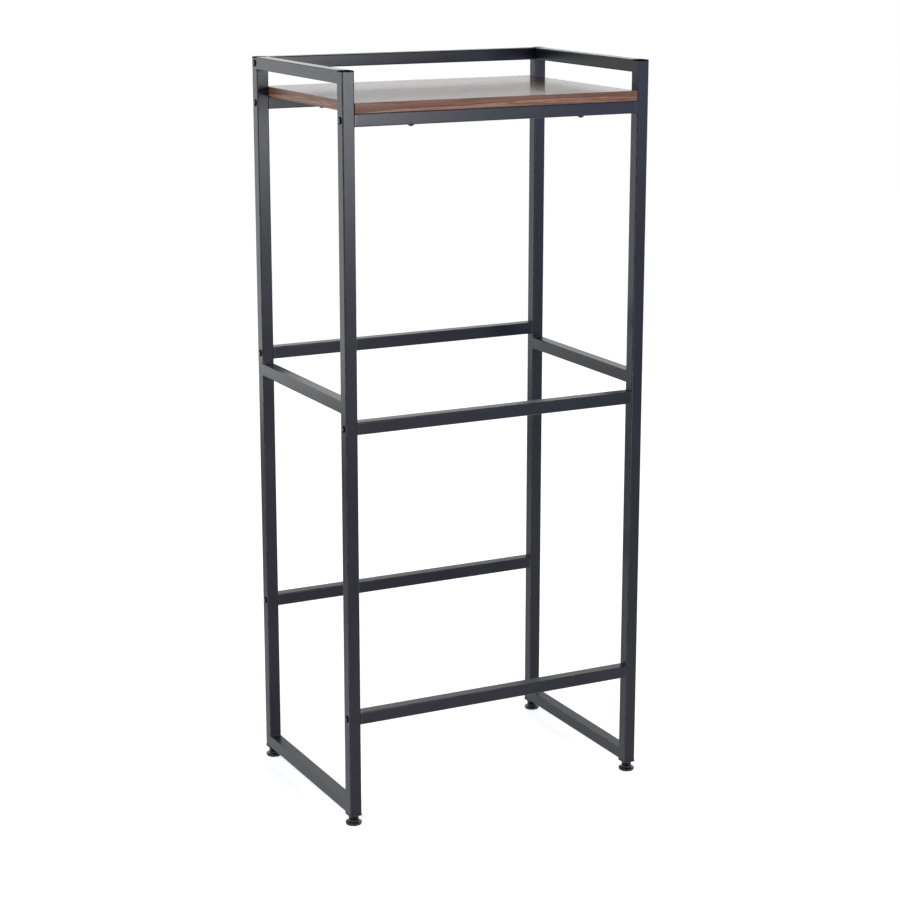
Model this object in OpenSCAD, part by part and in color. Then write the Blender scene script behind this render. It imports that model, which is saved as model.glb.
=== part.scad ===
// Over the toilet storage rack: two side frames of square steel tube, joined by bolted cross bars,
// with one laminate shelf at the top and screw-in levelling feet.
// Origin: middle of the footprint, on the floor. +X is the right-hand side, -Y the front, +Z up.

/* [Overall size] */
// Width over the outer faces of the posts
width = 610; // [450:5:800]
// Depth over the outer faces of the posts
depth = 406; // [300:2:560]
// Height of the posts' tops above the floor, with the feet screwed right in
height = 1375; // [1100:5:1700]

/* [Square tube] */
// Outer size of the tube that all posts, rails and bars are cut from
tube = 23; // [19:0.5:30]
// Wall thickness of the tube
tube_wall = 1.2; // [0.8:0.1:2]
// Outer radius of the tube's long edges
tube_edge_r = 2; // [1:0.25:3]

/* [Side frames] */
// Height of the middle rails' top face above the floor
mid_rail_top = 798; // [500:1:900]
// Leg of the weld beads between the rails and the posts
weld_leg = 2.5; // [1.5:0.5:4]

/* [Cross bars] */
// Height of the middle rear bar's top face above the floor
mid_rear_bar_top = 829; // [500:1:950]
// Height of the middle front bar's top face above the floor
mid_front_bar_top = 761; // [500:1:950]
// Height of the lower rear bar's top face above the floor
lower_rear_bar_top = 336; // [100:1:450]
// Height of the lower front bar's top face above the floor
lower_front_bar_top = 218; // [100:1:450]

/* [Shelf] */
// How far the shelf's surface lies below the posts' tops
shelf_drop = 55; // [40:1:120]
// Thickness of the shelf board with its laminate
shelf_t = 18; // [12:0.5:25]
// Thickness of the banding on the board's four edges
band_t = 1; // [0.5:0.1:2]
// Gap between the board's ends and the posts and rails
shelf_gap = 0.5; // [0.3:0.1:2]
// Distance from the middle of the board to each pair of shelf screws
screw_offset = 170; // [60:5:190]

/* [Bar ends] */
// Thickness of the end plug's flange between the bar and the post
plug_flange = 2.4; // [1:0.1:3]
// Depth of the end plug inside the bar
plug_depth = 15; // [13:0.5:25]
// Length of the threaded insert in each end plug
insert_l = 12; // [8:0.5:12]
// Outer radius of the threaded insert
insert_r = 5; // [4.5:0.1:6]

/* [Frame bolts] */
// Radius of the bolt's shank
bolt_r = 3; // [2.5:0.5:3]
// Length of thread that goes into the insert
bolt_grip = 10; // [6:0.5:12]
// Radius of the bolt's button head
bolt_head_r = 6.5; // [5:0.1:7]
// Height of the bolt's button head
bolt_head_h = 2.2; // [2:0.1:4]
// Width across the flats of the hexagon socket in the head
bolt_socket = 4; // [3:0.5:5]

/* [Shelf screws] */
// Radius of the screw's shank
screw_r = 2; // [1.5:0.1:2.5]
// How deep the screw goes into the board
screw_bite = 12; // [8:0.5:16]
// Radius of the screw's pan head
screw_head_r = 6.5; // [4:0.1:7]
// Height of the screw's pan head
screw_head_h = 4; // [2:0.1:5]

/* [Post caps] */
// Thickness of the cap on top of each post
cap_t = 2.5; // [1.5:0.1:4]
// Depth of the cap's skirt inside the post
cap_depth = 6; // [4:0.5:10]
// Wall of the cap's skirt
cap_wall = 1.5; // [1:0.1:2.5]

/* [Levelling feet] */
// Thickness of the foot plug's flange under each post
foot_flange = 2.7; // [1.5:0.1:4]
// Height of the tapered boss under the flange
foot_boss_h = 2.5; // [1:0.1:4]
// Radius of the boss where it meets the flange
foot_boss_top_r = 11; // [10:0.1:11.5]
// Radius of the boss at its lower end
foot_boss_r = 9.2; // [8:0.1:10]
// How far the foot plug's flange stands out past the post's faces
foot_proud = 0.8; // [0:0.1:2]
// Depth of the foot plug inside the post
foot_depth = 18; // [14:0.5:30]
// Radius of the foot's stud
stud_r = 4; // [3:0.5:4]
// Length of the stud above its collar
stud_l = 28; // [25:1:34]
// Outer radius of the threaded insert in the foot plug
foot_insert_r = 6; // [5.5:0.1:7]
// Length of the threaded insert in the foot plug
foot_insert_l = 12; // [8:0.5:14]
// Width across the flats of the hexagon collar on the stud
collar_af = 16; // [14:0.5:20]
// Height of the hexagon collar
collar_h = 6; // [4:0.1:12]
// Radius of the pad at its widest
pad_r = 15.2; // [14:0.1:20]
// Radius of the pad's neck
pad_neck_r = 9.2; // [8:0.1:10]
// Height of the pad
pad_h = 9.2; // [8:0.1:14]
// Radius of the rounded rim round the pad's base
pad_rim_r = 2.7; // [2:0.1:3]

/* [Clearances] */
// Radial clearance of a bolt or screw in a drilled hole
hole_clear = 0.25; // [0.1:0.05:0.5]
// Radial clearance of a thread, and of a pressed-in insert
thread_clear = 0.05; // [0.02:0.01:0.1]
// Clearance of a plug or cap inside the tube, on each side
plug_clear = 0.1; // [0.05:0.05:0.3]
// Gap between pieces that move past each other
run_gap = 0.3; // [0.2:0.05:0.5]

/* [Hidden] */
$fn = 48;

STEEL = "#33363b";
PLASTIC = "#161616";
ZINC = "#9a9da0";
WALNUT = "#7b5140";
BANDING = "#6e4636";

LEFT = -1;
RIGHT = 1;
FRONT = -1;
REAR = 1;
SIDES = [LEFT, RIGHT];
ENDS = [FRONT, REAR];

cut = 1;                                       // how far a cutting tool runs past a face
bore_in = tube - 2 * tube_wall;                // clear width inside the tube
post_x = width / 2 - tube / 2;                 // axis of a post, from the middle
post_y = depth / 2 - tube / 2;
inner_x = width / 2 - tube;                    // inner face of a post
foot_h = pad_h + run_gap + collar_h;           // pad and collar, with the foot screwed right in
post_bottom = foot_h + run_gap + foot_boss_h + foot_flange;
post_top = height - cap_t;
shelf_top = height - shelf_drop;
shelf_bar_top = shelf_top - shelf_t;
bar_l = 2 * (inner_x - plug_flange);
rail_l = depth - 2 * tube;
board_l = 2 * (inner_x - shelf_gap);
insert_seat = plug_flange + thread_clear;      // from the post's inner face to the insert
bolt_l = tube + plug_flange + bolt_grip;
bolt_hole_r = bolt_r + hole_clear;
screw_hole_r = screw_r + hole_clear;
hex_r = 1 / cos(30);                           // corner radius of a hexagon one unit from its flats

// Each cross bar: which side of the rack it is on, and the height of its centre line
BARS = [
    [REAR, height - tube / 2],
    [FRONT, shelf_bar_top - tube / 2],
    [REAR, shelf_bar_top - tube / 2],
    [FRONT, mid_front_bar_top - tube / 2],
    [REAR, mid_rear_bar_top - tube / 2],
    [FRONT, lower_front_bar_top - tube / 2],
    [REAR, lower_rear_bar_top - tube / 2]
];
// Each side rail: height of its centre line, and whether weld beads fit above and below it
RAIL_TOP = height - tube / 2;
RAIL_MID = mid_rail_top - tube / 2;
RAIL_BOTTOM = post_bottom + tube / 2;

// ---- profiles and general pieces ----

module rounded_square(size, r) {
    square([size, size - 2 * r], center = true);
    square([size - 2 * r, size], center = true);
    for (x = [-1, 1], y = [-1, 1])
        translate([x, y] * (size / 2 - r)) circle(r);
}

module tube_profile() {
    difference() {
        rounded_square(tube, tube_edge_r);
        rounded_square(bore_in, max(tube_edge_r - tube_wall, 0.2));
    }
}

// Solid prism that slides inside the tube, from z = 0 up
module tube_filler(h) {
    linear_extrude(h) rounded_square(bore_in - 2 * plug_clear, max(tube_edge_r - tube_wall, 0.2));
}

// Turns +Z to +X, so that what is built upwards points to the right
module along_x() {
    rotate([0, 90, 0]) children();
}

// Turns +Z to +Y, so that what is built upwards points to the rear
module along_y() {
    rotate([-90, 0, 0]) children();
}

// Puts something at a post's axis
module at_post(side, end) {
    translate([side * post_x, end * post_y, 0]) children();
}

// Puts something at one end of a bar, with +Z pointing from the post's outer face into the bar
module at_bar_end(side, bar) {
    translate([side * width / 2, bar[0] * post_y, bar[1]])
        rotate([0, -side * 90, 0]) children();
}

// ---- side frames ----

// The drills that pass through one post for the frame bolts
module bolt_holes(side, end) {
    for (bar = BARS)
        if (bar[0] == end)
            at_bar_end(side, bar) translate([0, 0, -cut])
                cylinder(r = bolt_hole_r, h = tube + 2 * cut);
}

module post(side, end) {
    difference() {
        at_post(side, end) translate([0, 0, post_bottom])
            linear_extrude(post_top - post_bottom) tube_profile();
        bolt_holes(side, end);
    }
}

module side_rail(side, z) {
    translate([side * post_x, -rail_l / 2, z]) along_y() linear_extrude(rail_l) tube_profile();
}

// Quarter-round bead in the corner between a rail's end and a post
module weld_bead(side, end, z, up) {
    run = tube - 2 * tube_edge_r;
    translate([side * post_x - run / 2, end * rail_l / 2, z]) along_x() linear_extrude(run)
        intersection() {
            circle(weld_leg);
            translate([up > 0 ? -weld_leg : 0, end > 0 ? -weld_leg : 0]) square(weld_leg);
        }
}

module side_welds(side) {
    for (end = ENDS) {
        weld_bead(side, end, RAIL_TOP - tube / 2, -1);
        weld_bead(side, end, RAIL_MID - tube / 2, -1);
        weld_bead(side, end, RAIL_MID + tube / 2, 1);
        weld_bead(side, end, RAIL_BOTTOM + tube / 2, 1);
    }
}

// ---- cross bars ----

module cross_bar(bar) {
    translate([-bar_l / 2, bar[0] * post_y, bar[1]]) along_x() linear_extrude(bar_l) tube_profile();
}

// Bar under the shelf, drilled through for the shelf screws
module shelf_bar(bar) {
    difference() {
        cross_bar(bar);
        for (x = [-screw_offset, screw_offset])
            translate([x, bar[0] * post_y, bar[1] - tube / 2 - cut])
                cylinder(r = screw_hole_r, h = tube + 2 * cut);
    }
}

module bar_end_plug(side, bar) {
    at_bar_end(side, bar) translate([0, 0, tube]) difference() {
        union() {
            linear_extrude(plug_flange) rounded_square(tube, tube_edge_r);
            translate([0, 0, plug_flange]) tube_filler(plug_depth);
        }
        translate([0, 0, -cut]) cylinder(r = bolt_hole_r, h = plug_flange + 2 * cut);
        translate([0, 0, plug_flange]) cylinder(r = insert_r + thread_clear, h = plug_depth + cut);
    }
}

module bar_end_plugs(end) {
    for (bar = BARS, side = SIDES)
        if (bar[0] == end) bar_end_plug(side, bar);
}

module bar_insert(side, bar) {
    at_bar_end(side, bar) translate([0, 0, tube + insert_seat]) difference() {
        cylinder(r = insert_r, h = insert_l);
        translate([0, 0, -cut]) cylinder(r = bolt_r + thread_clear, h = insert_l + 2 * cut);
    }
}

// Button-head bolt: the head lies outside the post, the shank reaches into the bar's insert
module frame_bolt(side, bar) {
    crown = bolt_head_h / 3;                   // straight rim below the domed part of the head
    socket_depth = bolt_head_h * 2 / 3;
    dome = bolt_head_h - crown;
    dome_r = (bolt_head_r * bolt_head_r + dome * dome) / (2 * dome);
    at_bar_end(side, bar) difference() {
        union() {
            cylinder(r = bolt_r, h = bolt_l);
            rotate([180, 0, 0]) {
                cylinder(r = bolt_head_r, h = crown);
                intersection() {
                    translate([0, 0, bolt_head_h - dome_r]) sphere(dome_r, $fn = 96);
                    cylinder(r = bolt_head_r, h = bolt_head_h + cut);
                }
            }
        }
        translate([0, 0, -bolt_head_h - cut])
            cylinder(r = bolt_socket / 2 * hex_r, h = socket_depth + cut, $fn = 6);
    }
}

// ---- shelf ----

module board() {
    difference() {
        translate([0, 0, shelf_bar_top]) linear_extrude(shelf_t)
            square([board_l - 2 * band_t, depth - 2 * band_t], center = true);
        for (x = [-screw_offset, screw_offset], end = ENDS)
            translate([x, end * post_y, shelf_bar_top - cut])
                cylinder(r = screw_r + thread_clear, h = cut + screw_bite + hole_clear);
    }
}

// Strip along the board's front or rear edge, which covers the ends of the two side strips
module long_band(end) {
    translate([0, end * (depth - band_t) / 2, shelf_bar_top + shelf_t / 2])
        cube([board_l, band_t, shelf_t], center = true);
}

module side_band(side) {
    translate([side * (board_l - band_t) / 2, 0, shelf_bar_top + shelf_t / 2])
        cube([band_t, depth - 2 * band_t, shelf_t], center = true);
}

// Pan-head screw driven upwards through a bar into the board
module shelf_screw(x, end) {
    dome_r = (screw_head_r * screw_head_r + screw_head_h * screw_head_h) / (2 * screw_head_h);
    slot_w = 1;
    translate([x, end * post_y, shelf_bar_top - tube]) {
        cylinder(r = screw_r, h = tube + screw_bite);
        difference() {
            intersection() {
                translate([0, 0, dome_r - screw_head_h]) sphere(dome_r, $fn = 96);
                translate([0, 0, -screw_head_h - cut])
                    cylinder(r = screw_head_r + cut, h = screw_head_h + cut);
            }
            for (a = [0, 90])
                rotate([0, 0, a]) translate([0, 0, -screw_head_h])
                    cube([screw_head_r, slot_w, screw_head_h], center = true);
        }
    }
}

// ---- post caps and feet ----

// The skirt is drilled wherever a frame bolt crosses it
module post_cap(side, end) {
    at_post(side, end) translate([0, 0, post_top])
        linear_extrude(cap_t) rounded_square(tube, tube_edge_r);
    difference() {
        at_post(side, end) translate([0, 0, post_top]) rotate([180, 0, 0]) difference() {
            tube_filler(cap_depth);
            translate([0, 0, -cut]) linear_extrude(cap_depth + 2 * cut)
                square(bore_in - 2 * plug_clear - 2 * cap_wall, center = true);
        }
        bolt_holes(side, end);
    }
}

module foot_plug(side, end) {
    at_post(side, end) translate([0, 0, post_bottom]) difference() {
        union() {
            translate([0, 0, -foot_flange]) linear_extrude(foot_flange)
                rounded_square(tube + 2 * foot_proud, tube_edge_r + foot_proud);
            translate([0, 0, -foot_flange - foot_boss_h])
                cylinder(r1 = foot_boss_r, r2 = foot_boss_top_r, h = foot_boss_h);
            tube_filler(foot_depth);
        }
        translate([0, 0, -foot_flange - foot_boss_h - cut])
            cylinder(r = stud_r + run_gap, h = foot_flange + foot_boss_h + 2 * cut);
        cylinder(r = foot_insert_r + thread_clear, h = foot_depth + cut);
    }
}

module foot_insert(side, end) {
    at_post(side, end) translate([0, 0, post_bottom + thread_clear]) difference() {
        cylinder(r = foot_insert_r, h = foot_insert_l);
        translate([0, 0, -cut]) cylinder(r = stud_r + thread_clear, h = foot_insert_l + 2 * cut);
    }
}

// The stud's lower end is a disc that turns inside the pad
disc_r = stud_r + 2;
disc_h = 3;
disc_z = pad_h - disc_h - 2.5;

module foot_stud(side, end) {
    at_post(side, end) {
        translate([0, 0, disc_z]) cylinder(r = disc_r, h = disc_h);
        translate([0, 0, disc_z]) cylinder(r = stud_r, h = foot_h + stud_l - disc_z);
        translate([0, 0, foot_h - collar_h]) cylinder(r = collar_af / 2 * hex_r, h = collar_h, $fn = 6);
    }
}

// Half section of the pad: a neck that flares out to a rounded rim
module pad_section() {
    rim_h = 2 * pad_rim_r;
    flare_r = min(pad_h - rim_h, pad_r - pad_rim_r - pad_neck_r);
    square([pad_r - pad_rim_r, rim_h]);
    translate([pad_r - pad_rim_r, pad_rim_r]) circle(pad_rim_r);
    square([pad_neck_r, pad_h]);
    difference() {
        translate([0, rim_h]) square([pad_neck_r + flare_r, flare_r]);
        translate([pad_neck_r + flare_r, rim_h + flare_r]) circle(flare_r);
    }
}

module foot_pad(side, end) {
    at_post(side, end) difference() {
        rotate_extrude() pad_section();
        translate([0, 0, disc_z - run_gap]) cylinder(r = disc_r + run_gap, h = disc_h + 2 * run_gap);
        translate([0, 0, disc_z]) cylinder(r = stud_r + run_gap, h = pad_h);
    }
}

// ---- named sub-parts ----

module left_front_post() color(STEEL) post(LEFT, FRONT);
module left_rear_post() color(STEEL) post(LEFT, REAR);
module right_front_post() color(STEEL) post(RIGHT, FRONT);
module right_rear_post() color(STEEL) post(RIGHT, REAR);
module left_top_rail() color(STEEL) side_rail(LEFT, RAIL_TOP);
module left_middle_rail() color(STEEL) side_rail(LEFT, RAIL_MID);
module left_bottom_rail() color(STEEL) side_rail(LEFT, RAIL_BOTTOM);
module right_top_rail() color(STEEL) side_rail(RIGHT, RAIL_TOP);
module right_middle_rail() color(STEEL) side_rail(RIGHT, RAIL_MID);
module right_bottom_rail() color(STEEL) side_rail(RIGHT, RAIL_BOTTOM);
module left_frame_welds() color(STEEL) side_welds(LEFT);
module right_frame_welds() color(STEEL) side_welds(RIGHT);
module top_rear_bar() color(STEEL) cross_bar(BARS[0]);
module shelf_front_bar() color(STEEL) shelf_bar(BARS[1]);
module shelf_rear_bar() color(STEEL) shelf_bar(BARS[2]);
module middle_front_bar() color(STEEL) cross_bar(BARS[3]);
module middle_rear_bar() color(STEEL) cross_bar(BARS[4]);
module lower_front_bar() color(STEEL) cross_bar(BARS[5]);
module lower_rear_bar() color(STEEL) cross_bar(BARS[6]);
module front_bar_end_plugs() color(PLASTIC) bar_end_plugs(FRONT);
module rear_bar_end_plugs() color(PLASTIC) bar_end_plugs(REAR);
module bar_threaded_inserts() color(ZINC) for (bar = BARS, side = SIDES) bar_insert(side, bar);
module left_frame_bolts() color(PLASTIC) for (bar = BARS) frame_bolt(LEFT, bar);
module right_frame_bolts() color(PLASTIC) for (bar = BARS) frame_bolt(RIGHT, bar);
module shelf_board() color(WALNUT) board();
module shelf_front_band() color(BANDING) long_band(FRONT);
module shelf_rear_band() color(BANDING) long_band(REAR);
module shelf_side_bands() color(BANDING) for (side = SIDES) side_band(side);
module shelf_screws() color(PLASTIC) for (x = [-screw_offset, screw_offset], end = ENDS) shelf_screw(x, end);
module left_front_post_cap() color(PLASTIC) post_cap(LEFT, FRONT);
module left_rear_post_cap() color(PLASTIC) post_cap(LEFT, REAR);
module right_front_post_cap() color(PLASTIC) post_cap(RIGHT, FRONT);
module right_rear_post_cap() color(PLASTIC) post_cap(RIGHT, REAR);
module left_front_foot_plug() color(PLASTIC) foot_plug(LEFT, FRONT);
module left_rear_foot_plug() color(PLASTIC) foot_plug(LEFT, REAR);
module right_front_foot_plug() color(PLASTIC) foot_plug(RIGHT, FRONT);
module right_rear_foot_plug() color(PLASTIC) foot_plug(RIGHT, REAR);
module foot_threaded_inserts() color(ZINC) for (side = SIDES, end = ENDS) foot_insert(side, end);
module left_front_foot_stud() color(PLASTIC) foot_stud(LEFT, FRONT);
module left_rear_foot_stud() color(PLASTIC) foot_stud(LEFT, REAR);
module right_front_foot_stud() color(PLASTIC) foot_stud(RIGHT, FRONT);
module right_rear_foot_stud() color(PLASTIC) foot_stud(RIGHT, REAR);
module left_front_foot_pad() color(PLASTIC) foot_pad(LEFT, FRONT);
module left_rear_foot_pad() color(PLASTIC) foot_pad(LEFT, REAR);
module right_front_foot_pad() color(PLASTIC) foot_pad(RIGHT, FRONT);
module right_rear_foot_pad() color(PLASTIC) foot_pad(RIGHT, REAR);

left_front_post();
left_rear_post();
right_front_post();
right_rear_post();
left_top_rail();
left_middle_rail();
left_bottom_rail();
right_top_rail();
right_middle_rail();
right_bottom_rail();
left_frame_welds();
right_frame_welds();
top_rear_bar();
shelf_front_bar();
shelf_rear_bar();
middle_front_bar();
middle_rear_bar();
lower_front_bar();
lower_rear_bar();
front_bar_end_plugs();
rear_bar_end_plugs();
bar_threaded_inserts();
left_frame_bolts();
right_frame_bolts();
shelf_board();
shelf_front_band();
shelf_rear_band();
shelf_side_bands();
shelf_screws();
left_front_post_cap();
left_rear_post_cap();
right_front_post_cap();
right_rear_post_cap();
left_front_foot_plug();
left_rear_foot_plug();
right_front_foot_plug();
right_rear_foot_plug();
foot_threaded_inserts();
left_front_foot_stud();
left_rear_foot_stud();
right_front_foot_stud();
right_rear_foot_stud();
left_front_foot_pad();
left_rear_foot_pad();
right_front_foot_pad();
right_rear_foot_pad();
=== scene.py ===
import math

import bmesh
import bpy
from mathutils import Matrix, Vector


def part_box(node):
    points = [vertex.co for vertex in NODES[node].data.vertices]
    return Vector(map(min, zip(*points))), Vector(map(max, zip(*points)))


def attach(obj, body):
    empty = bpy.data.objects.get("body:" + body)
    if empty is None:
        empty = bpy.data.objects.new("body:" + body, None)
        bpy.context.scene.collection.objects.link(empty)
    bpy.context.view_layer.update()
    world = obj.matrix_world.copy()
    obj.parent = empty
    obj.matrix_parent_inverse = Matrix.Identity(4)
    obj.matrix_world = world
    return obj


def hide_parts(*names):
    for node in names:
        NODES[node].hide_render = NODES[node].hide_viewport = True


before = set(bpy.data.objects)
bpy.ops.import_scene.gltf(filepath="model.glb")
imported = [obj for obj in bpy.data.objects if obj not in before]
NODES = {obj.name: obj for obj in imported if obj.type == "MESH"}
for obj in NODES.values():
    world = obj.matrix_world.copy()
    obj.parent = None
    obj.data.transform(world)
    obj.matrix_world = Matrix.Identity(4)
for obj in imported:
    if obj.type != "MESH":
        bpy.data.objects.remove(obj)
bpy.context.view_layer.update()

MM = 0.001
MERGE_WITHIN = 0.001 * MM       # mesh points closer than this are one

# ---- sizes of the detailed pieces, in metres ----
WELD_LEG = 2.5 * MM             # leg of a weld bead, as in the CAD
WELD_RIPPLE = 2.1 * MM          # spacing of the bead's ripples
WELD_INSET = 2.0 * MM           # a bead stops this far short of the tube's faces
SEAM_INSET = 0.5 * MM           # a ground seam stops this far short of the rail's top and bottom
TUBE_EDGE_R = 2.0 * MM          # rounding of the tube's long edges
CAP_EDGE_R = 0.7 * MM           # rounding round the top of a post cap
CAP_SKIRT = 5.0 * MM            # depth of the cap's skirt inside the post
CAP_SKIRT_HALF = 10.2 * MM      # half the skirt's width
CAP_SKIRT_R = 0.8 * MM          # rounding of the skirt's outer corners
CAP_WALL = 1.5 * MM
CAP_INNER_R = 0.4 * MM          # rounding of the skirt's inner corners
BOLT_HEAD_R = 6.5 * MM
BOLT_HEAD_H = 2.2 * MM
BOLT_CROWN = 0.8 * MM           # straight rim below the domed part of the head
BOLT_RIM_LOOP = 0.2 * MM        # extra ring this far below the dome, which keeps the rim crisp
BOLT_RIM_BREAK = 0.15 * MM      # broken edge where the rim meets the post
BOLT_SOCKET_R = 2.0 * MM        # half the width across the socket's flats
BOLT_SOCKET_DEPTH = 1.4 * MM
BOLT_SOCKET_BREAK = 0.25 * MM   # broken edge round the socket's mouth
BOLT_R = 3.0 * MM
BOLT_SHANK = 12.0 * MM          # length of shank that goes with the head
BOLT_BARE_HIGHLIGHT_R = 3.0 * MM          # bare metal, worn by the key and also a painted highlight, shows within this distance of the socket's middle
BOLT_BARE_HIGHLIGHT_H = 0.5 * MM          # and no closer to the post than this
STUD_R = 4.0 * MM
STUD_PITCH = 1.25 * MM
THREAD_DEPTH = 0.68 * MM
THREAD_RELIEF = 1.0 * MM        # plain stretch between the collar and the thread
THREAD_TIP = 0.6 * MM           # plain stretch above the thread
COLLAR_FLATS_R = 8.0 * MM       # half the width across the collar's flats
COLLAR_H = 6.0 * MM
COLLAR_BEVEL = 0.5 * MM
COLLAR_GAP = 0.3 * MM           # clearance between the collar and the pad's neck
DISC_R = 6.0 * MM               # disc at the stud's foot, inside the pad
DISC_H = 3.0 * MM
PAD_H = 9.2 * MM
PAD_BORE_R = 4.3 * MM
PAD_NECK_R = 9.2 * MM
PAD_NECK_BREAK = 0.3 * MM       # broken edge on top of the neck
PAD_FLARE_R = 3.0 * MM          # hollow curve from the neck down to the rim
PAD_FLARE_DROP = 0.7 * MM       # the curve's middle lies this far below the neck's top
PAD_RIM_H = 3.6 * MM            # height of the middle of the rim's rounding
PAD_RIM_ROUND = 1.9 * MM        # rounding of the rim above the groove
PAD_BASE_ROUND = 1.1 * MM       # rounding of the base ring below it
PAD_GROOVE_R = 0.3 * MM
PAD_GROOVE_INSET = 0.9 * MM     # groove's middle, inwards from the rim
PAD_GROOVE_H = 2.25 * MM        # height of the groove's middle
PAD_SOLE_R = 10.8 * MM          # the flat sole starts here, inside it the pad is hollowed
PAD_SOLE_HOLLOW = 0.4 * MM
PAD_HOLE_H = 2.2 * MM           # blind hole in the middle of the sole
PAD_HOLE_BREAK = 0.4 * MM
PAD_SOCKET = (3.4 * MM, 7.0 * MM)   # heights between which the stud's disc turns
PAD_SOCKET_GAP = 0.3 * MM       # clearance round that disc
PAD_SOCKET_SLOPE = 0.2 * MM     # slope from the socket's roof up to the bore

# ---- camera and stage ----
CAMERA_AT = Vector((-1.871, -3.694, 1.660))
CAMERA_YAW = math.radians(26.9)     # from +Y towards +X
CAMERA_PITCH = math.radians(13.9)   # below the horizon
CAMERA_LENS = 89.3                  # mm
CAMERA_SENSOR = 36.0                # mm
CAMERA_CLIP = (0.05, 100.0)
FLOOR_SIZE = 400.0
FLOOR_GLOW = 0.80                   # light the far floor gives off by itself
GLOW_CUT = (0.36, 0.16)             # how much less close to the rack, on its left and on its right
GLOW_CUT_X = (-0.8, 0.8)
GLOW_CUT_REACH = (1.5, 5.0)         # distances between which that cut fades away
GLOW_CUT_Y = (-0.5, 0.1)            # there is no cut in front of the rack
GLOW_SLANT = 0.277                  # drift of the white floor's left edge to the right, per metre back
GLOW_LEFT = (-1.15, -0.88)          # where the white floor and its glow set in, from the left
FLOOR_GREY = (0.50, 0.50, 0.51)     # bare studio floor to the left of the white one
GLOW_FRONT = (-1.5, -0.75)          # where the full glow sets in, from the front
GLOW_FRONT_SHARE = 0.25             # share of the glow that is left in front of that
WALL_REAR = (0.78, 0.78, 0.79)      # bright studio wall behind the rack
WALL_FRONT = (0.20, 0.25, 0.37)     # dim, bluish room in front of it
CEILING = (0.10, 0.10, 0.11)        # dark ceiling
WALL_BLEND = (-0.3, 0.5)            # directions, in Y, between which the front wall meets the rear one
CEILING_BLEND = (0.50, 0.80)        # directions, in Z, between which the walls meet the ceiling


# ---- shader helpers ----

MIX_COLOURS = (6, 7)    # a Mix node's two colour inputs
MIX_RESULT = 2          # and its colour output


class Shader:
    """A material's node tree with short calls that add nodes and join them."""

    def __init__(self, name, **finish):
        self.material = bpy.data.materials.new(name)
        self.material.use_nodes = True
        self.tree = self.material.node_tree
        self.surface = self.tree.nodes["Principled BSDF"]
        for socket, value in finish.items():
            self.put(self.surface, socket.replace("_", " "), value)

    def put(self, node, socket, value):
        target = node.inputs[socket]
        if isinstance(value, bpy.types.NodeSocket):
            self.tree.links.new(value, target)
        else:
            target.default_value = value

    def add(self, kind, inputs, output=0, **settings):
        """Adds a node, fills its inputs by name or number, and gives back one of its outputs."""
        node = self.tree.nodes.new(kind)
        for key, value in settings.items():
            setattr(node, key, value)
        for socket, value in inputs.items():
            self.put(node, socket, value)
        return node.outputs[output]

    def coords(self, scale=(1, 1, 1), shift=(0, 0, 0)):
        """Texture place on the object, in metres, stretched and then moved."""
        place = self.add("ShaderNodeTexCoord", {}, "Object")
        return self.add("ShaderNodeMapping", {"Vector": place, "Scale": scale, "Location": shift})

    def noise(self, vector, scale, detail=3.0, rough=0.5, distort=0.0):
        inputs = {"Vector": vector, "Scale": scale, "Detail": detail, "Roughness": rough}
        return self.add("ShaderNodeTexNoise", {**inputs, "Distortion": distort}, "Fac")

    def remap(self, value, low, high, to_low=0.0, to_high=1.0):
        """Maps low..high to to_low..to_high with soft ends."""
        return self.add("ShaderNodeMapRange", {"Value": value, "From Min": low, "From Max": high,
                                               "To Min": to_low, "To Max": to_high},
                        interpolation_type="SMOOTHSTEP")

    def math(self, operation, first, second=0.5):
        return self.add("ShaderNodeMath", {0: first, 1: second}, operation=operation)

    def ramp(self, value, stops):
        """Colour ramp; stops are (place, (r, g, b)) pairs."""
        out = self.add("ShaderNodeValToRGB", {"Fac": value})
        elements = out.node.color_ramp.elements
        while len(elements) < len(stops):
            elements.new(0.5)
        for element, (place, colour) in zip(elements, stops):
            element.position = place
            element.color = (*colour, 1.0)
        return out

    def blend(self, amount, first, second, mode="MIX"):
        """Colour mix of first and second, each a socket or an (r, g, b)."""
        out = self.add("ShaderNodeMix", {"Factor": amount}, data_type="RGBA", blend_type=mode)
        node = out.node
        for socket, value in zip(MIX_COLOURS, (first, second)):
            self.put(node, socket, value if isinstance(value, bpy.types.NodeSocket) else (*value, 1.0))
        return node.outputs[MIX_RESULT]

    def bump(self, height, distance, strength=1.0, normal=None):
        inputs = {"Height": height, "Distance": distance, "Strength": strength}
        if normal is not None:
            inputs["Normal"] = normal
        return self.add("ShaderNodeBump", inputs, "Normal")

    def edge_mask(self, low, high):
        """One on rounded edges that lie between the object's own axes, nought on flat faces."""
        normal = self.add("ShaderNodeTexCoord", {}, "Normal")
        parts = self.add("ShaderNodeSeparateXYZ", {"Vector": normal}).node.outputs
        sizes = [self.math("ABSOLUTE", part) for part in parts]
        largest = self.math("MAXIMUM", self.math("MAXIMUM", sizes[0], sizes[1]), sizes[2])
        return self.remap(self.math("SUBTRACT", 1.0, largest), low, high)


# ---- materials ----
# Colours are linear. Texture scales are features per metre.

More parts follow.
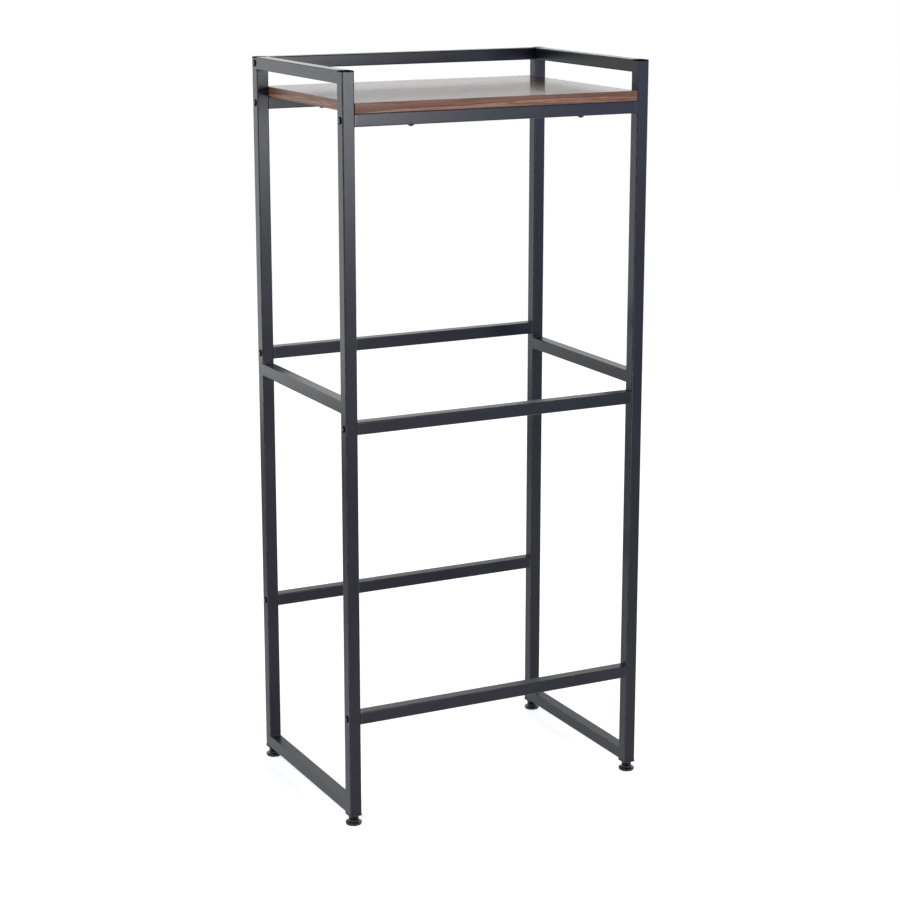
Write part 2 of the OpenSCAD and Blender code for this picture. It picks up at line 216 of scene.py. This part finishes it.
def powder_coat(name):
    """Charcoal powder coat on steel: orange peel, faint mottling, thin rubbed edges that are also lightened
    as a painted highlight.
    """
    s = Shader(name, Specular_IOR_Level=0.20, IOR=1.5)
    place = s.coords()
    broad = s.noise(place, 7.0, detail=4.0)
    patches = s.noise(place, 60.0, detail=5.0, rough=0.6)
    peel = s.noise(place, 520.0, detail=2.0, rough=0.45)
    grit = s.noise(place, 2600.0, detail=1.0)
    tone = s.ramp(broad, [(0.30, (0.0065, 0.0078, 0.0120)), (0.70, (0.0100, 0.0115, 0.0165))])
    tone = s.blend(s.remap(grit, 0.55, 0.75, 0.0, 0.35), tone, (0.018, 0.020, 0.026))
    # rounded edges painted lighter: partly rubbed paint, partly a painted highlight along each edge
    rubbed_and_highlit = s.math("MULTIPLY", s.edge_mask(0.04, 0.22), s.remap(patches, 0.35, 0.65, 0.15, 0.75))
    s.put(s.surface, "Base Color", s.blend(rubbed_and_highlit, tone, (0.085, 0.092, 0.108)))
    rough = s.remap(patches, 0.30, 0.70, 0.277, 0.284)
    s.put(s.surface, "Roughness", s.math("SUBTRACT", rough, s.math("MULTIPLY", rubbed_and_highlit, 0.08)))
    coarse = s.bump(peel, 0.06 * MM, 0.55)
    s.put(s.surface, "Normal", s.bump(grit, 0.012 * MM, 0.4, coarse))
    return s.material


def moulded_plastic(name, ior, rough, shine=0.5):
    """Black moulded plastic with spark-eroded grain and scuffed edges."""
    s = Shader(name, Specular_IOR_Level=shine, IOR=ior)
    place = s.coords()
    grain = s.add("ShaderNodeTexVoronoi", {"Vector": place, "Scale": 1900.0}, "Distance")
    cloud = s.noise(place, 90.0, detail=4.0)
    tone = s.ramp(cloud, [(0.3, (0.0035, 0.0035, 0.0040)), (0.7, (0.0065, 0.0065, 0.0072))])
    scuff = s.math("MULTIPLY", s.edge_mask(0.03, 0.2), s.remap(cloud, 0.4, 0.65, 0.0, 0.5))
    s.put(s.surface, "Base Color", s.blend(scuff, tone, (0.035, 0.035, 0.037)))
    s.put(s.surface, "Roughness", s.remap(cloud, 0.25, 0.75, rough - 0.05, rough + 0.05))
    s.put(s.surface, "Normal", s.bump(grain, 0.03 * MM, 0.5))
    return s.material


def black_oxide(name, wear_and_highlight_share=0.0):
    """Black oxide on steel; the share argument lets bare metal show where the key rubs, and at its full value
    this bare metal is also a painted highlight in and round the socket.
    """
    s = Shader(name, Specular_IOR_Level=0.5, IOR=1.16 + 0.3 * wear_and_highlight_share)
    place = s.coords()
    fine = s.noise(place, 1400.0, detail=3.0)
    cloud = s.noise(place, 240.0, detail=4.0)
    starts = 0.62 - 0.3 * wear_and_highlight_share
    wear_and_highlight = s.remap(cloud, starts, starts + 0.12, 0.0, 0.25 + 0.75 * wear_and_highlight_share)
    s.put(s.surface, "Base Color", s.blend(wear_and_highlight, (0.004, 0.004, 0.005), (0.36, 0.36, 0.37)))
    s.put(s.surface, "Metallic", wear_and_highlight)
    s.put(s.surface, "Roughness", s.remap(fine, 0.3, 0.7, 0.30, 0.44))
    s.put(s.surface, "Normal", s.bump(fine, 0.01 * MM, 0.5))
    return s.material


def zinc_plate(name):
    """Bright zinc plating: faint cloudy tints and fine turned marks."""
    s = Shader(name, Metallic=1.0)
    place = s.coords()
    cloud = s.noise(place, 120.0, detail=4.0)
    marks = s.noise(s.coords(scale=(1, 1, 9)), 900.0, detail=2.0)
    s.put(s.surface, "Base Color", s.ramp(cloud, [(0.3, (0.42, 0.43, 0.46)), (0.7, (0.60, 0.60, 0.57))]))
    s.put(s.surface, "Roughness", s.remap(marks, 0.3, 0.7, 0.24, 0.40))
    s.put(s.surface, "Normal", s.bump(marks, 0.01 * MM, 0.4))
    return s.material


# dark, middle and pale tone of the print on the board and on its edge bands; the bands' tones are raised to
# about twice the board's as painted light, for the brighter light falling on their faces
BOARD_TONES = ((0.048, 0.018, 0.010), (0.135, 0.056, 0.032), (0.215, 0.100, 0.062))
BAND_TONES_PAINTED_LIGHTER = ((0.105, 0.045, 0.027), (0.225, 0.108, 0.065), (0.330, 0.172, 0.107))


def grain_scale(grain, along, across):
    """Texture scale that is small along the grain ("X" or "Y") and large across it."""
    return (along, across, across) if grain == "X" else (across, along, across)


def walnut(name, tones, grain="X", rings_along="Y", shift=0.0, gloss=0.36, shine=0.12, relief=0.6):
    """Printed walnut laminate in three tones: rings, fibres and pores drawn out along the grain.

    The shift gives each piece its own stretch of the print.
    """
    s = Shader(name, Specular_IOR_Level=shine, IOR=1.5)
    along = s.coords(scale=grain_scale(grain, 1.0, 9.0), shift=(shift, shift, 0))
    wander = s.noise(along, 1.6, detail=3.0, distort=0.6)
    waves = {"Vector": along, "Scale": 1.15, "Distortion": 7.0}
    ripples = {"Detail": 3.0, "Detail Scale": 0.8, "Detail Roughness": 0.6}
    rings = s.add("ShaderNodeTexWave", {**waves, **ripples}, "Fac",
                  wave_type="BANDS", bands_direction=rings_along, wave_profile="SAW")
    along_fibres = s.coords(scale=grain_scale(grain, 12.0, 420.0), shift=(shift, 0, 0))
    fibres = s.noise(along_fibres, 1.0, detail=4.0, rough=0.65)
    along_pores = s.coords(scale=grain_scale(grain, 38.0, 1500.0), shift=(0, shift, 0))
    pores = s.noise(along_pores, 1.0, detail=2.0)
    dark, middle, pale = tones
    black, white = (0, 0, 0), (1, 1, 1)
    figure = s.blend(0.45, s.ramp(rings, [(0.0, black), (1.0, white)]),
                     s.ramp(wander, [(0.25, black), (0.75, white)]))
    tone = s.ramp(figure, [(0.10, dark), (0.48, middle), (0.90, pale)])
    tone = s.blend(s.remap(fibres, 0.42, 0.62, 0.0, 0.85), tone, dark)
    pits = s.remap(pores, 0.60, 0.70)
    tone = s.blend(s.math("MULTIPLY", pits, 0.7), tone, tuple(0.35 * c for c in dark))
    s.put(s.surface, "Base Color", tone)
    s.put(s.surface, "Roughness", s.remap(fibres, 0.25, 0.75, gloss, gloss + 0.07))
    height = s.math("ADD", s.math("MULTIPLY", fibres, 0.5), s.math("MULTIPLY", pits, -0.8))
    s.put(s.surface, "Normal", s.bump(height, 0.03 * MM, relief))
    return s.material


def pale_floor(name):
    """Matt pale studio floor, lit from within like a light table; bare and grey on the left, dim in front."""
    s = Shader(name, Specular_IOR_Level=0.0)
    cloud = s.noise(s.coords(), 2.5, detail=5.0)
    s.put(s.surface, "Roughness", s.remap(cloud, 0.3, 0.7, 0.75, 0.9))
    place = s.add("ShaderNodeSeparateXYZ", {"Vector": s.coords()}).node.outputs
    white = s.remap(s.math("SUBTRACT", place[0], s.math("MULTIPLY", place[1], GLOW_SLANT)), *GLOW_LEFT)
    paint = s.ramp(cloud, [(0.3, (0.845, 0.845, 0.85)), (0.7, (0.87, 0.87, 0.87))])
    s.put(s.surface, "Base Color", s.blend(white, FLOOR_GREY, paint))
    inside = s.math("MULTIPLY", white, s.remap(place[1], *GLOW_FRONT, GLOW_FRONT_SHARE, 1.0))
    s.put(s.surface, "Emission Color", s.ramp(cloud, [(0.0, (0.98, 0.98, 0.98)), (1.0, (1.0, 1.0, 1.0))]))
    distance = s.add("ShaderNodeVectorMath", {0: s.coords()}, "Value", operation="LENGTH")
    cut = s.math("MULTIPLY", s.remap(place[0], *GLOW_CUT_X, *GLOW_CUT), s.remap(place[1], *GLOW_CUT_Y))
    cut = s.math("MULTIPLY", cut, s.remap(distance, *GLOW_CUT_REACH, 1.0, 0.0))
    s.put(s.surface, "Emission Strength", s.math("MULTIPLY", inside, s.math("SUBTRACT", FLOOR_GLOW, cut)))
    return s.material


# ---- mesh helpers ----

def make_piece(name, bm, material, body, replaced=(), smooth_deg=35.0):
    """Turns a bmesh into a shaded object that rides on a body and stands for CAD nodes."""
    bmesh.ops.remove_doubles(bm, verts=bm.verts, dist=MERGE_WITHIN)
    bmesh.ops.recalc_face_normals(bm, faces=bm.faces)
    mesh = bpy.data.meshes.new(name)
    bm.to_mesh(mesh)
    bm.free()
    for each in material if isinstance(material, tuple) else (material,):
        mesh.materials.append(each)
    mesh.shade_smooth()
    mesh.set_sharp_from_angle(angle=math.radians(smooth_deg))
    piece = bpy.data.objects.new(name, mesh)
    bpy.context.scene.collection.objects.link(piece)
    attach(piece, body)
    if replaced:
        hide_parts(*replaced)
    return piece


def add_loft(bm, rings, close_ends=True):
    """Skins rings of points, all of one length, each closed on itself."""
    rows = [[bm.verts.new(point) for point in ring] for ring in rings]
    for lower, upper in zip(rows, rows[1:]):
        count = len(lower)
        for i in range(count):
            j = (i + 1) % count
            bm.faces.new((lower[i], lower[j], upper[j], upper[i]))
    if close_ends:
        for row in (rows[0], rows[-1]):
            centre = bm.verts.new(sum((v.co for v in row), Vector()) / len(row))
            for i, vert in enumerate(row):
                bm.faces.new((vert, row[(i + 1) % len(row)], centre))


def circle_radius(radius):
    return lambda angle: radius


def hexagon_radius(flats_r):
    """Distance from a hexagon's middle to its outline at an angle."""
    sixth = math.pi / 3
    return lambda angle: flats_r / math.cos((angle + sixth / 2) % sixth - sixth / 2)


def ring(outline, height, steps, centre, axis_x=False):
    """One ring of points about +Z, or about +X when axis_x is set."""
    points = []
    for i in range(steps):
        angle = math.tau * i / steps
        r = outline(angle)
        a, b = r * math.cos(angle), r * math.sin(angle)
        points.append(centre + (Vector((height, a, b)) if axis_x else Vector((a, b, height))))
    return points


def arc(centre_r, centre_h, radius, start_deg, end_deg, steps):
    """Points (r, h) along a circular arc, for a lathe profile."""
    angles = [math.radians(start_deg + (end_deg - start_deg) * i / steps) for i in range(steps + 1)]
    return [(centre_r + radius * math.cos(a), centre_h + radius * math.sin(a)) for a in angles]


# ---- detailed pieces ----

def weld_bead(bm, x0, x1, y, z, towards_y, towards_z):
    """Rippled bead across a tube: its corner line runs from x0 to x1 at y, z."""
    stations, profile = 36, 8
    rings = []
    for i in range(stations + 1):
        t = i / stations
        x = x0 + (x1 - x0) * t
        taper = math.sqrt(max(1 - (2 * t - 1) ** 8, 0.02))
        swell = 1 + 0.09 * math.sin(math.tau * (x - x0) / WELD_RIPPLE)
        leg = WELD_LEG * taper * swell
        points = [Vector((x, y, z))]
        for k in range(profile + 1):
            angle = math.pi / 2 * k / profile
            lag = 0.25 * WELD_RIPPLE * math.sin(2 * angle)
            points.append(Vector((x + lag, y + towards_y * leg * math.cos(angle),
                                  z + towards_z * leg * math.sin(angle))))
        rings.append(points)
    add_loft(bm, rings)


def frame_welds(side, material):
    """All beads of one side frame, placed by its rails' boxes."""
    bm = bmesh.new()
    for rail, below, above in (("top", True, False), ("middle", True, True), ("bottom", False, True)):
        low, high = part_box(f"{side}_{rail}_rail")
        x0, x1 = low[0] + WELD_INSET, high[0] - WELD_INSET
        z0, z1 = low[2] + SEAM_INSET, high[2] - SEAM_INSET
        for y, towards_y in ((low[1], 1), (high[1], -1)):
            if below:
                weld_bead(bm, x0, x1, y, low[2], towards_y, -1)
            if above:
                weld_bead(bm, x0, x1, y, high[2], towards_y, 1)
            for face_x, inwards in ((low[0], 1), (high[0], -1)):
                ground_seam(bm, face_x, inwards, y, -towards_y, z0, z1)
    make_piece(f"{side}_weld_beads", bm, material, "rack", [f"{side}_frame_welds"],
               smooth_deg=60.0)


def ground_seam(bm, face_x, inwards, rail_end, towards_post, z0, z1):
    """Weld ground flush, which fills the groove between a rail's end and the post's rounded edge."""
    arc_steps = 6
    rings = []
    for z in (z0, z1):
        points = [Vector((face_x, rail_end, z))]
        for k in range(arc_steps + 1):
            angle = math.pi / 2 * k / arc_steps
            points.append(Vector((face_x + inwards * TUBE_EDGE_R * (1 - math.cos(angle)),
                                  rail_end + towards_post * TUBE_EDGE_R * (1 - math.sin(angle)), z)))
        rings.append(points)
    add_loft(bm, rings)


def rounded_square(half, corner_r, z, centre, corner_steps=6):
    """Ring of points round a square with rounded corners."""
    points = []
    for quarter in range(4):
        middle = math.pi / 4 + quarter * math.pi / 2
        corner = centre + Vector((math.copysign(half - corner_r, math.cos(middle)),
                                  math.copysign(half - corner_r, math.sin(middle)), z))
        for k in range(corner_steps + 1):
            angle = middle - math.pi / 4 + math.pi / 2 * k / corner_steps
            points.append(corner + corner_r * Vector((math.cos(angle), math.sin(angle), 0)))
    return points


def post_cap(corner, material):
    """Cap with a softly rounded top and a hollow skirt that slips into the post."""
    low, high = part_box(f"{corner}_post_cap")
    post_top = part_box(f"{corner}_post")[1][2]
    centre = Vector(((low[0] + high[0]) / 2, (low[1] + high[1]) / 2, 0))
    half = (high[0] - low[0]) / 2
    inner = CAP_SKIRT_HALF - CAP_WALL
    skirt_end = post_top - CAP_SKIRT
    sections = [(inner, CAP_INNER_R, post_top), (inner, CAP_INNER_R, skirt_end),
                (CAP_SKIRT_HALF, CAP_SKIRT_R, skirt_end), (CAP_SKIRT_HALF, CAP_SKIRT_R, post_top),
                (half, TUBE_EDGE_R, post_top)]
    rounding = 6
    for k in range(rounding + 1):
        angle = math.pi / 2 * k / rounding
        shrink = CAP_EDGE_R * (1 - math.cos(angle))
        drop = CAP_EDGE_R * (1 - math.sin(angle))
        sections.append((half - shrink, TUBE_EDGE_R - shrink / 2, high[2] - drop))
    bm = bmesh.new()
    add_loft(bm, [rounded_square(size, r, z, centre) for size, r, z in sections])
    make_piece(f"{corner}_cap_moulded", bm, material, "rack", [f"{corner}_post_cap"],
               smooth_deg=50.0)


def bolt_head(bm, centre, outwards):
    """Low button head with a hexagon socket and its shank.

    The centre lies on the post's face, and outwards is +1 or -1 along X.
    """
    steps = 48
    socket = hexagon_radius(BOLT_SOCKET_R)
    lip = BOLT_SOCKET_R / math.cos(math.pi / 6) + BOLT_SOCKET_BREAK
    sections = [(socket, BOLT_HEAD_H - BOLT_SOCKET_DEPTH), (socket, BOLT_HEAD_H - BOLT_SOCKET_BREAK),
                (circle_radius(lip), BOLT_HEAD_H)]
    rise = BOLT_HEAD_H - BOLT_CROWN
    dome_steps = 9
    dome_end = 0.99     # just short of the rim, where the dome turns upright
    for i in range(1, dome_steps + 1):
        share = dome_end * i / dome_steps
        r = lip + (BOLT_HEAD_R - lip) * share
        sections.append((circle_radius(r), BOLT_CROWN + rise * math.sqrt(1 - share ** 3)))
    rim = circle_radius(BOLT_HEAD_R)
    shank = circle_radius(BOLT_R)
    sections += [(rim, BOLT_CROWN - BOLT_RIM_LOOP), (rim, BOLT_RIM_BREAK),
                 (circle_radius(BOLT_HEAD_R - BOLT_RIM_BREAK), 0.0), (shank, 0.0), (shank, -BOLT_SHANK)]
    add_loft(bm, [ring(outline, outwards * h, steps, centre, axis_x=True) for outline, h in sections])


def bare_and_highlight_sockets(bm, centres, outwards):
    """Gives the faces in and round each socket the second material: bare metal worn by the key, also a
    painted highlight.
    """
    for face in bm.faces:
        at = face.calc_center_median()
        for centre in centres:
            if outwards * (at.x - centre.x) > BOLT_BARE_HIGHLIGHT_H and (at - centre).yz.length < BOLT_BARE_HIGHLIGHT_R:
                face.material_index = 1


def frame_bolts(side, outwards, materials):
    """The bolts of one side, one at each cross bar's end."""
    bars = [name for name in NODES if name.endswith("_bar")]
    post_low, post_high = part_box(f"{side}_front_post")
    face_x = post_low[0] if outwards < 0 else post_high[0]
    centres = []
    for bar in bars:
        low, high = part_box(bar)
        centres.append(Vector((face_x, (low[1] + high[1]) / 2, (low[2] + high[2]) / 2)))
    bm = bmesh.new()
    for centre in centres:
        bolt_head(bm, centre, outwards)
    bare_and_highlight_sockets(bm, centres, outwards)
    make_piece(f"{side}_bolts", bm, materials, "rack", [f"{side}_frame_bolts"],
               smooth_deg=28.0)


def thread_radius(z, run_out):
    """Outline of the stud's thread at a height; run_out fades it from 1, full depth, to 0, no thread."""
    flank, root_flat = 2.4, 0.1

    def outline(angle):
        phase = (z / STUD_PITCH - angle / math.tau) % 1.0
        crest = min(1.0, max(0.0, flank * abs(phase - 0.5) - root_flat))
        return STUD_R - THREAD_DEPTH * (1 - crest * run_out)

    return outline


def foot_stud(corner, material):
    """Threaded stud with a chamfered hexagon collar and a disc that turns in the pad."""
    low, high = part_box(f"{corner}_foot_stud")
    centre = Vector(((low[0] + high[0]) / 2, (low[1] + high[1]) / 2, 0))
    bm = bmesh.new()
    steps = 36
    collar_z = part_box(f"{corner}_foot_pad")[1][2] + COLLAR_GAP
    collar_top = collar_z + COLLAR_H
    inner = COLLAR_FLATS_R - COLLAR_BEVEL
    disc, shank, chamfer = circle_radius(DISC_R), circle_radius(STUD_R), circle_radius(inner)
    root = circle_radius(STUD_R - THREAD_DEPTH)
    hexagon = hexagon_radius(COLLAR_FLATS_R)
    body = [(disc, low[2]), (disc, low[2] + DISC_H), (shank, low[2] + DISC_H), (shank, collar_z),
            (chamfer, collar_z), (hexagon, collar_z + COLLAR_BEVEL), (hexagon, collar_top - COLLAR_BEVEL),
            (chamfer, collar_top), (root, collar_top)]
    rings = [ring(outline, z, steps, centre) for outline, z in body]
    thread_from, thread_to = collar_top + THREAD_RELIEF, high[2] - THREAD_TIP
    rows_per_turn = 8
    rows = int((thread_to - thread_from) / STUD_PITCH * rows_per_turn)
    for row in range(rows + 1):
        z = thread_from + (thread_to - thread_from) * row / rows
        run_out = min(1.0, (z - thread_from) / STUD_PITCH, (thread_to - z) / STUD_PITCH + 0.15)
        rings.append(ring(thread_radius(z, run_out), z, steps, centre))
    rings.append(ring(root, high[2], steps, centre))
    add_loft(bm, rings)
    make_piece(f"{corner}_stud_threaded", bm, material, f"{corner}_stud", [f"{corner}_foot_stud"],
               smooth_deg=40.0)


def foot_pad(corner, material):
    """Bell-shaped pad: base ring, groove, rounded rim and a neck that flares into it."""
    low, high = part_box(f"{corner}_foot_pad")
    centre = Vector(((low[0] + high[0]) / 2, (low[1] + high[1]) / 2, 0))
    rim_r = (high[0] - low[0]) / 2
    round_r = rim_r - PAD_RIM_ROUND
    socket_r = DISC_R + PAD_SOCKET_GAP
    socket_floor, socket_top = PAD_SOCKET
    steps = 72
    # blind hole in the sole, the hollow round it and the sole's inner edge
    profile = [(PAD_BORE_R, PAD_HOLE_H), (PAD_BORE_R, PAD_SOLE_HOLLOW + PAD_HOLE_BREAK / 2),
               (PAD_BORE_R + PAD_HOLE_BREAK, PAD_SOLE_HOLLOW),
               (PAD_SOLE_R - PAD_SOLE_HOLLOW, PAD_SOLE_HOLLOW), (PAD_SOLE_R, 0.0)]
    # base ring, groove, rim and flare
    profile += arc(round_r, PAD_BASE_ROUND, PAD_BASE_ROUND, -90, 50, 8)
    profile += arc(rim_r - PAD_GROOVE_INSET, PAD_GROOVE_H, PAD_GROOVE_R, 230, 150, 4)
    profile += arc(round_r, PAD_RIM_H, PAD_RIM_ROUND, -35, 95, 12)
    profile += arc(PAD_NECK_R + PAD_FLARE_R, PAD_H - PAD_FLARE_DROP, PAD_FLARE_R, 262, 180, 10)
    # neck, bore and the socket that holds the stud's disc
    profile += [(PAD_NECK_R, PAD_H - PAD_NECK_BREAK), (PAD_NECK_R - PAD_NECK_BREAK, PAD_H),
                (PAD_BORE_R, PAD_H), (PAD_BORE_R, socket_top + PAD_SOCKET_SLOPE),
                (socket_r, socket_top), (socket_r, socket_floor)]
    bm = bmesh.new()
    add_loft(bm, [ring(circle_radius(r), h, steps, centre) for r, h in profile])
    make_piece(f"{corner}_pad_moulded", bm, material, f"{corner}_pad", [f"{corner}_foot_pad"],
               smooth_deg=50.0)


# ---- carried-over CAD nodes ----

BARE_CORNER = math.radians(40)      # corners sharper than this get a bevel


def finish_node(name, material, bevel=0.0, segments=3):
    """Gives a CAD node its material and, where it has bare corners, a small bevel."""
    node = NODES[name]
    node.data.materials.clear()
    node.data.materials.append(material)
    weld = node.modifiers.new("join_seams", "WELD")
    weld.merge_threshold = MERGE_WITHIN
    if bevel:
        edges = node.modifiers.new("soft_edges", "BEVEL")
        edges.width = bevel
        edges.segments = segments
        edges.limit_method = "ANGLE"
        edges.angle_limit = BARE_CORNER
        edges.harden_normals = False


steel = powder_coat("charcoal_powder_coat")
plastic = moulded_plastic("black_moulded_plastic", ior=1.42, rough=0.30)
cap_plastic = moulded_plastic("matt_black_cap_plastic", ior=1.10, shine=0.02, rough=0.60)
bolt = black_oxide("black_oxide_finish")
# bare metal in and round the sockets: key wear, and a painted highlight on the bolt heads
bolt_bare_and_highlit = black_oxide("black_oxide_worn_and_painted_highlight", wear_and_highlight_share=1.0)
zinc = zinc_plate("zinc_plating")
board_print = walnut("walnut_laminate_top", BOARD_TONES, gloss=0.14, shine=0.6, relief=0.10)
# the edge bands use the tones raised as painted light
long_print = walnut("walnut_band_long", BAND_TONES_PAINTED_LIGHTER, rings_along="Z", shift=0.37)
side_print = walnut("walnut_band_side", BAND_TONES_PAINTED_LIGHTER, grain="Y", rings_along="Z", shift=0.71)

for name in NODES:
    if name.endswith(("_post", "_rail", "_bar")):
        finish_node(name, steel)
    elif name.endswith(("_plug", "_plugs")):
        finish_node(name, plastic, bevel=0.35 * MM)
    elif name.endswith("_inserts"):
        finish_node(name, zinc)
finish_node("shelf_screws", bolt)
finish_node("shelf_board", board_print, bevel=0.15 * MM, segments=2)
finish_node("shelf_front_band", long_print, bevel=0.3 * MM)
finish_node("shelf_rear_band", long_print, bevel=0.3 * MM)
finish_node("shelf_side_bands", side_print, bevel=0.3 * MM)

for side, outwards in (("left", -1), ("right", 1)):
    frame_welds(side, steel)
    frame_bolts(side, outwards, (bolt, bolt_bare_and_highlit))
    for end in ("front", "rear"):
        foot_stud(f"{side}_{end}", bolt)
        foot_pad(f"{side}_{end}", plastic)
        post_cap(f"{side}_{end}", cap_plastic)


# ---- stage, lights and camera ----

def add_floor():
    bm = bmesh.new()
    bmesh.ops.create_grid(bm, x_segments=1, y_segments=1, size=FLOOR_SIZE / 2)
    mesh = bpy.data.meshes.new("studio_floor")
    bm.to_mesh(mesh)
    bm.free()
    mesh.materials.append(pale_floor("studio_floor_paint"))
    floor = bpy.data.objects.new("studio_floor", mesh)
    bpy.context.scene.collection.objects.link(floor)


def add_softbox(name, at, aim, size, watts, colour=(1.0, 1.0, 1.0)):
    """Rectangular studio light of a width and height, turned towards a point."""
    light = bpy.data.lights.new(name, "AREA")
    light.shape = "RECTANGLE"
    light.size, light.size_y = size
    light.energy = watts
    light.color = colour
    lamp = bpy.data.objects.new(name, light)
    lamp.location = at
    lamp.rotation_euler = (Vector(aim) - Vector(at)).to_track_quat("-Z", "Y").to_euler()
    bpy.context.scene.collection.objects.link(lamp)


def add_world():
    """Bright rear wall, dim room in front and dark ceiling, blended softly by direction."""
    world = bpy.data.worlds.new("studio")
    world.use_nodes = True
    tree = world.node_tree
    parts = tree.nodes.new("ShaderNodeSeparateXYZ")
    tree.links.new(tree.nodes.new("ShaderNodeTexCoord").outputs["Generated"], parts.inputs[0])

    def share(axis, low, high):
        """Nought to one as a direction's X, Y or Z, numbered by axis, goes from low to high."""
        node = tree.nodes.new("ShaderNodeMapRange")
        node.interpolation_type = "SMOOTHSTEP"
        node.inputs["From Min"].default_value = low
        node.inputs["From Max"].default_value = high
        tree.links.new(parts.outputs[axis], node.inputs["Value"])
        return node.outputs[0]

    def mix(amount, first, second):
        node = tree.nodes.new("ShaderNodeMix")
        node.data_type = "RGBA"
        tree.links.new(amount, node.inputs["Factor"])
        for socket, value in zip(MIX_COLOURS, (first, second)):
            if isinstance(value, tuple):
                node.inputs[socket].default_value = (*value, 1.0)
            else:
                tree.links.new(value, node.inputs[socket])
        return node.outputs[MIX_RESULT]

    walls = mix(share(1, *WALL_BLEND), WALL_FRONT, WALL_REAR)
    room = mix(share(2, *CEILING_BLEND), walls, CEILING)
    tree.links.new(room, tree.nodes["Background"].inputs["Color"])
    bpy.context.scene.world = world


def add_camera():
    data = bpy.data.cameras.new("photo_view")
    data.lens = CAMERA_LENS
    data.sensor_width = CAMERA_SENSOR
    data.clip_start, data.clip_end = CAMERA_CLIP
    camera = bpy.data.objects.new("photo_view", data)
    camera.location = CAMERA_AT
    camera.rotation_euler = (math.pi / 2 - CAMERA_PITCH, 0.0, -CAMERA_YAW)
    bpy.context.scene.collection.objects.link(camera)
    bpy.context.scene.camera = camera


add_floor()
add_world()
add_softbox("key_overhead_left", at=(-2.6, -0.6, 3.4), aim=(0.0, 0.0, 0.7), size=(2.4, 2.4), watts=60.0)
add_softbox("strip_front_right", at=(1.12, -4.1, 1.27), aim=(-0.3, -0.2, 1.1), size=(0.55, 1.0),
            watts=90.0, colour=(0.96, 0.98, 1.0))
add_softbox("card_front_right", at=(2.9, -4.1, 1.0), aim=(0.3, -0.2, 1.1), size=(1.2, 0.9),
            watts=16.0, colour=(0.47, 0.52, 1.0))
add_softbox("strip_front_left", at=(-2.7, -1.9, 1.1), aim=(0.0, 0.0, 0.8), size=(0.6, 2.0), watts=14.0)
add_softbox("card_left_rear", at=(-1.20, 2.1, 0.90), aim=(0.0, 0.0, 0.9), size=(1.5, 1.4), watts=13.0)
add_softbox("panel_rear", at=(1.6, 3.4, 2.6), aim=(0.0, 0.0, 1.3), size=(3.4, 1.4), watts=26.0)
add_camera()
bpy.context.scene.view_settings.view_transform = "Standard"
